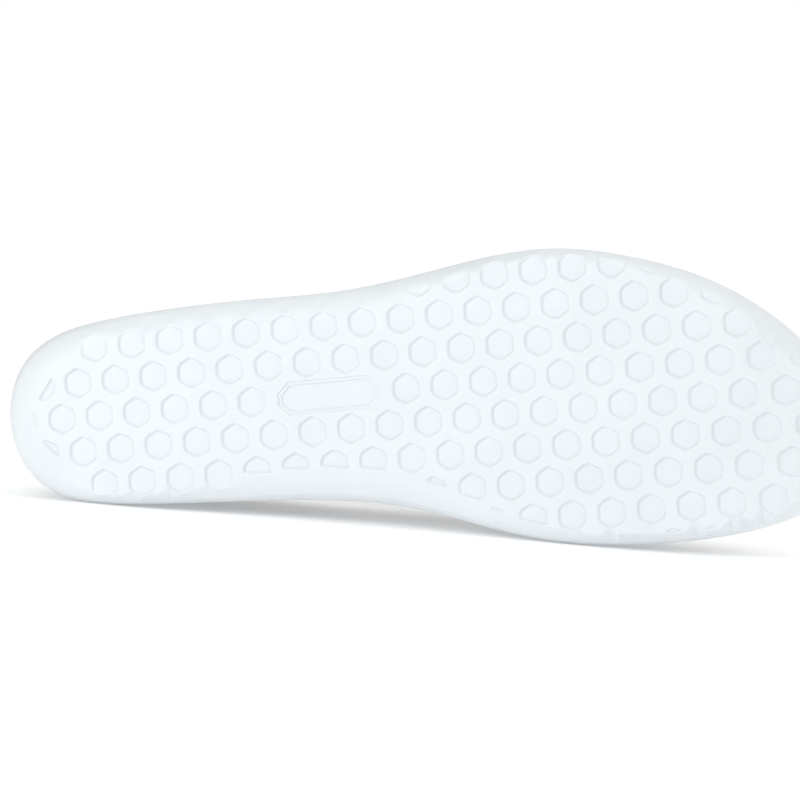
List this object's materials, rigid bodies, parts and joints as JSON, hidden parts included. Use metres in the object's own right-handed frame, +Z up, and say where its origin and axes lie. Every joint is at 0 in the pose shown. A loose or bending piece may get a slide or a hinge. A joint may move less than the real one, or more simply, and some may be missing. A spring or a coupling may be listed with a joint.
{
  "type": "slip-on shoe",
  "caption": "Plain white slip-on shoe for the right foot, lying on its side: moulded cup sole with recessed hexagon tread, low hollow upper and insole.",
  "frame": {"origin": "centre of the footprint on the floor, under the shoe as it lies on its medial side", "axes": "+X towards the toe, +Z up from the floor, and the tread faces -Y"},
  "size_m": [0.2628, 0.0922, 0.0864],
  "materials": {
    "sole": "white moulded sole, satin",
    "upper": "white smooth leather, fine grain",
    "insole": "pale textile on foam"
  },
  "bodies": {
    "root": {"outsole": "sole", "upper": "upper", "insole": "insole"}
  },
  "joints": []
}
